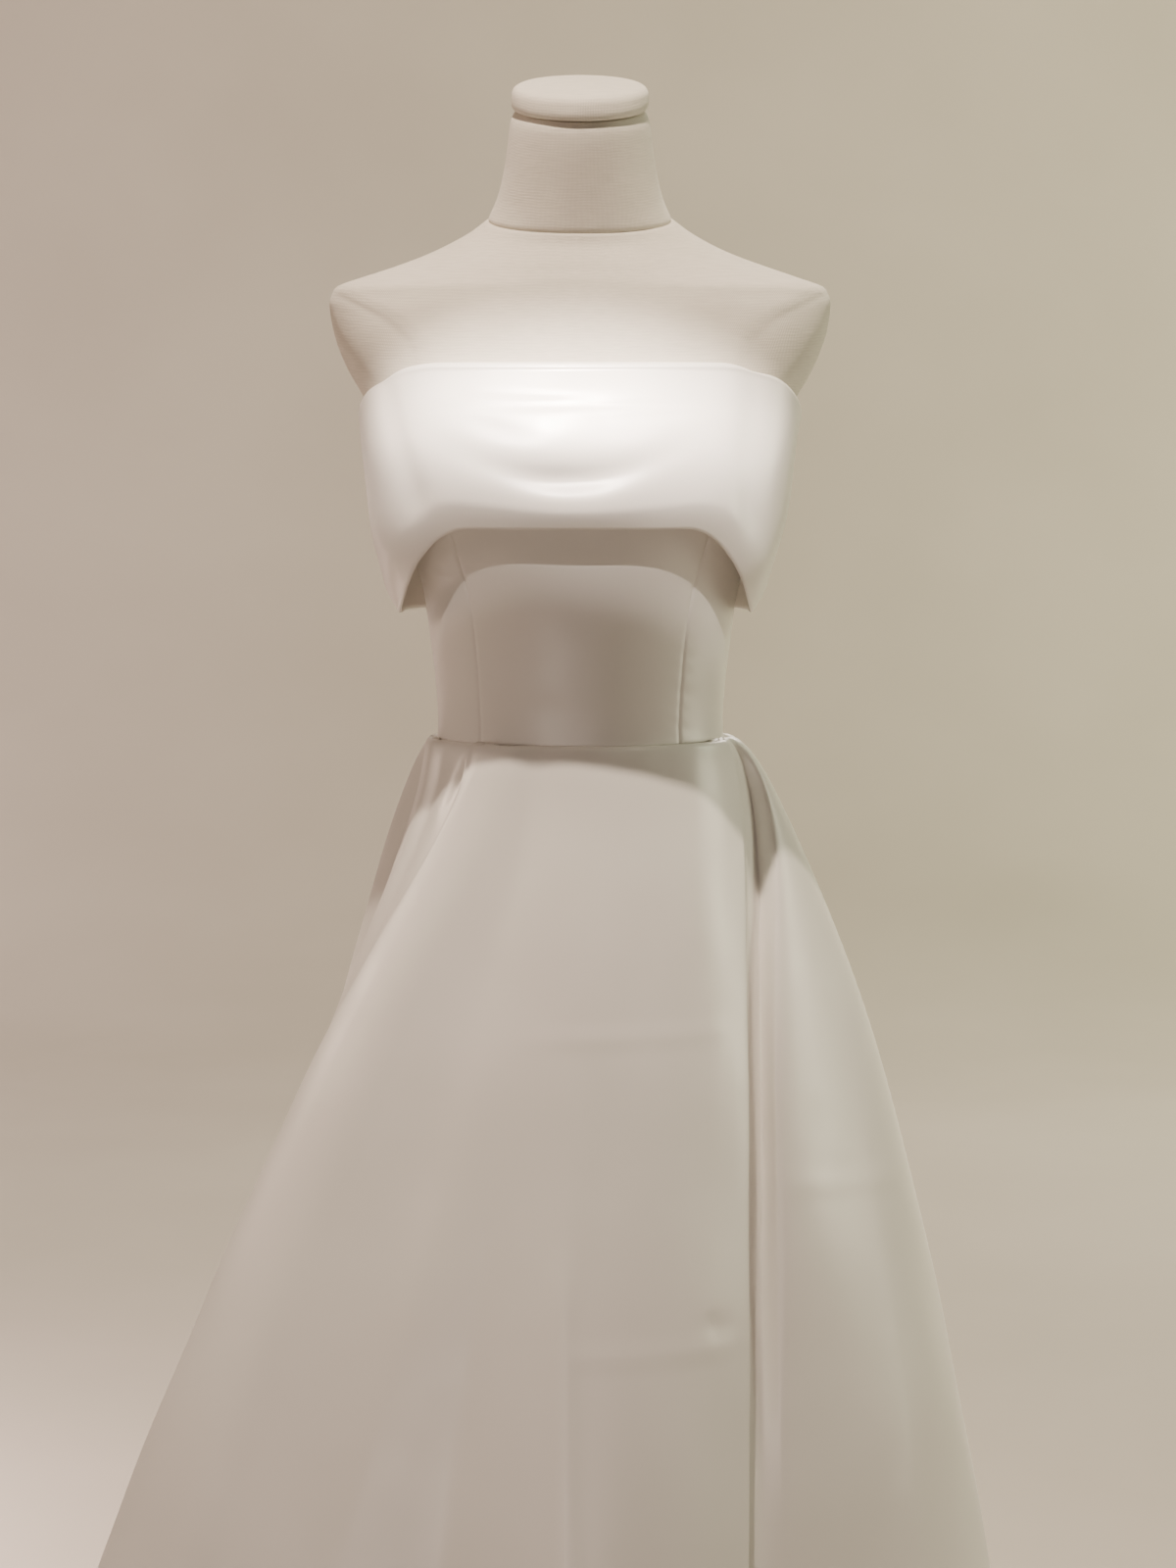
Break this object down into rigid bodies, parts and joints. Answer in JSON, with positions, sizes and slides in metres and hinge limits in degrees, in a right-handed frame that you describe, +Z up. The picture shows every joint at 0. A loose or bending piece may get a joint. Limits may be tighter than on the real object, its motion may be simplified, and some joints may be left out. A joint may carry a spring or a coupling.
{
  "type": "a-line gown on a dress form",
  "caption": "Strapless floor-length A-line satin gown with a fold-over cuff and knife pleats, on a limbless linen dress form with a pole and a round base.",
  "frame": {"origin": "on the floor, at the middle of the flat underside of the stand's base, under the pole's axis", "axes": "+Z up, -Y out of the gown's front, +X towards the wearer's left, which is on the viewer's right"},
  "size_m": [0.893, 0.7985, 1.5663],
  "materials": {
    "satin": "ivory duchess satin with a soft sheen",
    "linen": "cream linen, plain weave, matt",
    "zip_tape": "ivory woven tape",
    "enamel": "ivory enamel",
    "steel": "brushed",
    "coated_metal": "satin coating"
  },
  "bodies": {
    "gown_and_form": {"bodice_front": "satin", "bodice_side_front_left": "satin", "bodice_side_front_right": "satin", "bodice_side_back_left": "satin", "bodice_side_back_right": "satin", "bodice_back_left": "satin", "bodice_back_right": "satin", "cuff_front": "satin", "cuff_back_left": "satin", "cuff_back_right": "satin", "skirt_front": "satin", "skirt_side_left": "satin", "skirt_side_right": "satin", "skirt_side_back_left": "satin", "skirt_side_back_right": "satin", "skirt_back_left": "satin", "skirt_back_right": "satin", "form_torso": "linen", "form_neck": "linen", "form_cap": "linen", "form_pole": "steel", "form_base": "coated_metal", "zip": "zip_tape", "zip_slider": "enamel"},
    "zip_pull": {"zip_pull": "enamel"}
  },
  "joints": [
    {"name": "pull_swing", "type": "hinge", "parent": "gown_and_form", "child": "zip_pull", "pos_m": [0, 0.11218, 1.274], "axis": [1, 0, 0], "range_deg": [0, 150]}
  ]
}
